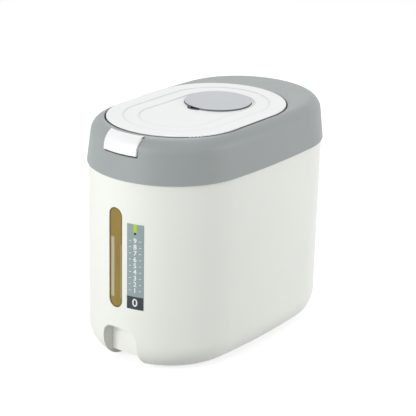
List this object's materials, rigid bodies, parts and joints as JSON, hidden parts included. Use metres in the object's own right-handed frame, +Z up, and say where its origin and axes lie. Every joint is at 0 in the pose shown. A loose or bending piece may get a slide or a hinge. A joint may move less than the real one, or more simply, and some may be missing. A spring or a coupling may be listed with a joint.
{
  "type": "rice storage bin",
  "caption": "Oval rice storage bin: white tub, grey collar, flush flip lid with a lift-off cap, front push latch, level window, grip recess and rear rollers.",
  "frame": {"origin": "centre of the footprint, on the floor", "axes": "+Z up, -Y to the front with the button and the window, +X to the right seen from the front"},
  "size_m": [0.185, 0.305, 0.26],
  "materials": {
    "tub_white": "satin moulded, warm white",
    "lid_white": "satin moulded, clean white",
    "collar_grey": "satin moulded, cool grey",
    "cap_grey": "satin moulded, pale blue grey",
    "window_amber": "clear strip with grain behind it",
    "label_print": "printed film",
    "inner_white": "plain moulded",
    "gasket_silicone": "soft translucent silicone",
    "rubber_grey": "matt rubber",
    "roller_grey": "turned nylon",
    "steel": "bright steel"
  },
  "bodies": {
    "bin": {"body_shell": "tub_white", "level_window": "window_amber", "scale_label": "label_print", "collar": "collar_grey", "hinge_cradle": "inner_white", "hinge_pin": "steel", "cradle_screws": "steel", "latch_pin": "steel", "latch_spring": "steel", "foot_left": "rubber_grey", "foot_right": "rubber_grey", "axle_left": "steel", "axle_right": "steel"},
    "lid": {"lid_panel": "lid_white", "lid_inner": "inner_white", "lid_gasket": "gasket_silicone", "hinge_bracket": "inner_white", "lid_screws": "steel", "desiccant_cup": "inner_white"},
    "cap": {"desiccant_cap": "cap_grey"},
    "button": {"latch_button": "lid_white"},
    "left_roller": {"roller_left": "roller_grey"},
    "right_roller": {"roller_right": "roller_grey"}
  },
  "joints": [
    {"name": "lid_hinge", "type": "hinge", "parent": "bin", "child": "lid", "pos_m": [0, 0.1057, 0.2504], "axis": [-1, 0, 0], "range_deg": [0, 90]},
    {"name": "latch_press", "type": "hinge", "parent": "bin", "child": "button", "pos_m": [0, -0.1394, 0.251], "axis": [1, 0, 0], "range_deg": [0, 8], "stiffness_Nm_per_rad": 0.3, "deforming": ["latch_spring"]},
    {"name": "cap_lift", "type": "slide", "parent": "lid", "child": "cap", "axis": [0, 0, 1], "range_m": [0, 0.04]},
    {"name": "roller_left_spin", "type": "hinge", "parent": "bin", "child": "left_roller", "pos_m": [-0.034, 0.08, 0.009], "axis": [1, 0, 0], "continuous": true},
    {"name": "roller_right_spin", "type": "hinge", "parent": "bin", "child": "right_roller", "pos_m": [0.034, 0.08, 0.009], "axis": [1, 0, 0], "continuous": true}
  ]
}
